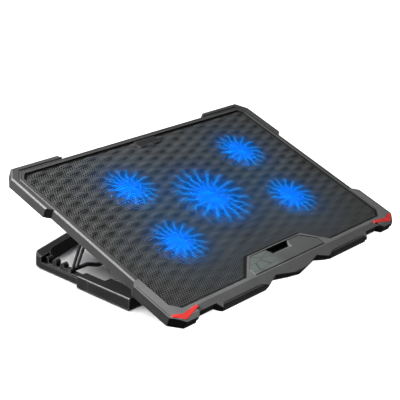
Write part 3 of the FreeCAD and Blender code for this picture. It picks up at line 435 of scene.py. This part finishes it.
n.b.inputs["Emission Strength"].default_value = 1.6
n.link(n.ramp(n.noise(300.0), [(0.3, (0.05, 0.15, 0.5)), (0.7, (0.10, 0.25, 0.7))]), n.b.inputs["Base Color"])
n.b.inputs["Specular IOR Level"].default_value = 0.05
M["led"] = n.m
M["mesh_metal"] = panel_metal("mesh_metal_look")

slot_of = {s["node"]: s["material_slot"] for s in frame["record"]["subparts"]}
for name, obj in NODES.items():
    slot = slot_of[name]
    if slot == "fan_blue":
        key = name.replace("fan_rotor_", "")
        mat = rotor_glow("glow_" + key, *FANS[key])
    elif name == "badge_plate":
        mat = M["badge"]
    elif name in ("fan_screws", "case_screws") or name.startswith("fan_shaft"):
        mat = M["screw_black"]
    else:
        mat = M[slot]
    obj.data.materials.clear()
    obj.data.materials.append(mat)
    if slot in ("frame_plastic", "bezel_plastic", "flap_plastic", "dark_plastic", "red_accent", "rubber"):
        mod = obj.modifiers.new("edges", "BEVEL")
        mod.width = 0.00035
        mod.segments = 2
        mod.limit_method = "ANGLE"
        mod.angle_limit = math.radians(38)
        mod.harden_normals = False


# ---------------------------------------------------------------- perforated panel
def inset(poly, d):
    """Closed polygon (counter-clockwise) moved inwards by d, corners mitred."""
    out = []
    n = len(poly)
    for i in range(n):
        p0, p1, p2 = (np.array(poly[(i + k) % n], float) for k in (-1, 0, 1))
        e0, e1 = (p1 - p0) / np.linalg.norm(p1 - p0), (p2 - p1) / np.linalg.norm(p2 - p1)
        n0, n1 = np.array((-e0[1], e0[0])), np.array((-e1[1], e1[0]))
        m = (n0 + n1)
        m /= np.dot(m, n0)
        out.append(tuple(p1 + m * d))
    return out


right = [(47.9, -93.1), (76.5, -117.3), (176.8, -117.3), (186.7, -107.4), (186.7, 113.8), (179.8, 120.7)]
outline = right + [(-x, y) for x, y in reversed(right)]
area2 = sum(outline[i][0] * outline[(i + 1) % 12][1] - outline[(i + 1) % 12][0] * outline[i][1] for i in range(12))
if area2 < 0:
    outline.reverse()


def inside(px, py, poly):
    res = np.zeros(px.shape, bool)
    n = len(poly)
    for i in range(n):
        x0, y0 = poly[i]
        x1, y1 = poly[(i + 1) % n]
        if y0 == y1:
            continue
        hit = ((y0 > py) != (y1 > py)) & (px < (x1 - x0) * (py - y0) / (y1 - y0) + x0)
        res ^= hit
    return res


def emboss(x, y):
    """Height of the raised lens-shaped bumps, in mm: staggered columns 18.7 apart."""
    px, py = 18.7, 13.8
    x0, y0 = -163.6, 115.3
    best = np.zeros_like(x)
    for odd in (0, 1):
        cx = np.round((x - x0 - odd * px) / (2 * px)) * 2 * px + x0 + odd * px
        cy = np.round((y - y0 - odd * py / 2) / py) * py + y0 + odd * py / 2
        dx, dy = (x - cx) / 9.2, (y - cy) / 4.6
        rr = np.clip(1 - np.abs(dx) ** 1.8 - np.abs(dy) ** 1.6, 0, 1)
        best = np.maximum(best, rr ** 0.8)
    edge = np.clip((120.7 - np.abs(y)) / 6.0, 0, 1) * np.clip((186.7 - np.abs(x)) / 6.0, 0, 1)
    tongue = np.clip((np.abs(x) - 70) / 8.0, 0, 1) + np.clip((y + 88) / 5.0, 0, 1)
    fade = np.clip(0.30 + 0.70 * (y + 105.0) / 110.0, 0.30, 1.0)
    return 1.9 * best * edge * np.clip(tongue, 0, 1) * fade


def perforated():
    """Honeycomb sheet with a round hole in every cell: closed, 0.8 mm thick, embossed."""
    pitch = 3.0
    row = pitch * math.sqrt(3) / 2
    ny, nx = int(245 / row) + 2, int(380 / pitch) + 2
    j, i = np.meshgrid(np.arange(-ny // 2, ny // 2 + 1), np.arange(-nx // 2, nx // 2 + 1))
    cx = (i + 0.5 * (j & 1)).ravel() * pitch
    cy = j.ravel() * row
    ii, jj = i.ravel(), j.ravel()
    keep = inside(cx, cy, inset(outline, 1.8))
    cx, cy, ii, jj = cx[keep], cy[keep], ii[keep], jj[keep]
    n = len(cx)
    ang = np.radians(np.arange(6) * 60 + 30)
    rc = pitch / math.sqrt(3)
    # cell corners, shared between neighbours
    ox, oy = cx[:, None] + rc * np.cos(ang), cy[:, None] + rc * np.sin(ang)
    key = np.round(np.stack([ox.ravel() * 50, oy.ravel() * 50], 1)).astype(np.int64)
    uniq, inv = np.unique(key, axis=0, return_inverse=True)
    inv = inv.reshape(n, 6)
    corner = np.zeros((len(uniq), 2))
    corner[inv.ravel(), 0] = ox.ravel()
    corner[inv.ravel(), 1] = oy.ravel()
    hr = 1.06
    hx, hy = cx[:, None] + hr * np.cos(ang), cy[:, None] + hr * np.sin(ang)
    nc, nh = len(corner), 6 * n
    top, bot = -2.0, -2.8
    flat = np.concatenate([corner, np.stack([hx.ravel(), hy.ravel()], 1)])
    lift = emboss(flat[:, 0], flat[:, 1])
    up = np.column_stack([flat, top + lift])
    dn = np.column_stack([flat, bot + lift])
    verts = pad_pts(np.concatenate([up, dn]))
    half = nc + nh
    hid = nc + np.arange(nh).reshape(n, 6)
    a, b = inv, np.roll(inv, -1, axis=1)
    c, d = np.roll(hid, -1, axis=1), hid
    topf = np.stack([a, b, c, d], -1).reshape(-1, 4)
    botf = np.stack([d, c, b, a], -1).reshape(-1, 4) + half
    wall = np.stack([d, c, c + half, d + half], -1).reshape(-1, 4)
    # outer rim of the sheet: edges used by one cell only
    e = np.stack([a, b], -1).reshape(-1, 2)
    es = np.sort(e, axis=1)
    _, idx, cnt = np.unique(es, axis=0, return_index=True, return_counts=True)
    rim = e[idx[cnt == 1]]
    rimf = np.stack([rim[:, 1], rim[:, 0], rim[:, 0] + half, rim[:, 1] + half], -1)
    faces = np.concatenate([topf, botf, wall, rimf])
    me = bpy.data.meshes.new("mesh_panel_perforated")
    me.vertices.add(len(verts))
    me.vertices.foreach_set("co", verts.ravel())
    me.loops.add(faces.size)
    me.loops.foreach_set("vertex_index", faces.ravel().astype(np.int32))
    me.polygons.add(len(faces))
    me.polygons.foreach_set("loop_start", np.arange(0, faces.size, 4, dtype=np.int32))
    me.polygons.foreach_set("loop_total", np.full(len(faces), 4, dtype=np.int32))
    me.update(calc_edges=True)
    me.validate()
    o = bpy.data.objects.new("mesh_panel_perforated", me)
    scene.collection.objects.link(o)
    me.materials.append(M["mesh_metal"])
    return o


panel = perforated()
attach(panel, "pad")


def strip(name, poly, width, z0, z1, mat):
    """Flat closed ring along a polygon, from z0 to z1, with a softened inner edge."""
    inner, soft = inset(poly, width), inset(poly, width - 0.5)
    n = len(poly)
    rings = [[(x, y, z0) for x, y in poly], [(x, y, z1) for x, y in poly], [(x, y, z1) for x, y in soft],
             [(x, y, z1 - 0.12) for x, y in inner], [(x, y, z0) for x, y in inner]]
    v = [p for r in rings for p in r]
    f = []
    for k in range(5):
        for i in range(n):
            a, b = k * n + i, k * n + (i + 1) % n
            c, d = ((k + 1) % 5) * n + (i + 1) % n, ((k + 1) % 5) * n + i
            f.append((a, b, c, d))
    me = bpy.data.meshes.new(name)
    me.from_pydata([tuple(p) for p in pad_pts(v)], [], f)
    bm = bmesh.new()
    bm.from_mesh(me)
    bmesh.ops.recalc_face_normals(bm, faces=bm.faces)
    bm.to_mesh(me)
    bm.free()
    o = bpy.data.objects.new(name, me)
    scene.collection.objects.link(o)
    me.materials.append(mat)
    return o


# the hem uses the panel coat painted darker, as painted shade in the line between rail and mesh
hem = strip("mesh_panel_hem", outline, 2.95, -2.86, -1.9, panel_metal("mesh_hem_look", glow=False))
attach(hem, "pad")
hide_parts("mesh_panel")

# key and top light the object alone, the wash the floor alone, so that the floor stays evenly pale
lit = bpy.data.collections.new("lit_by_key")
for o in scene.objects:
    if o.type in ("MESH", "CURVE") and o is not floor:
        lit.objects.link(o)
ground = bpy.data.collections.new("lit_by_wash")
ground.objects.link(floor)
key_light.light_linking.receiver_collection = lit
top_light.light_linking.receiver_collection = lit
floor_light.light_linking.receiver_collection = ground
shade = bpy.data.collections.new("shades_the_wash")
for name in frame["record"]["behaviour"]["bodies"]["base"] + ["bottom_shell"]:
    shade.objects.link(NODES[name])
floor_light.light_linking.blocker_collection = shade
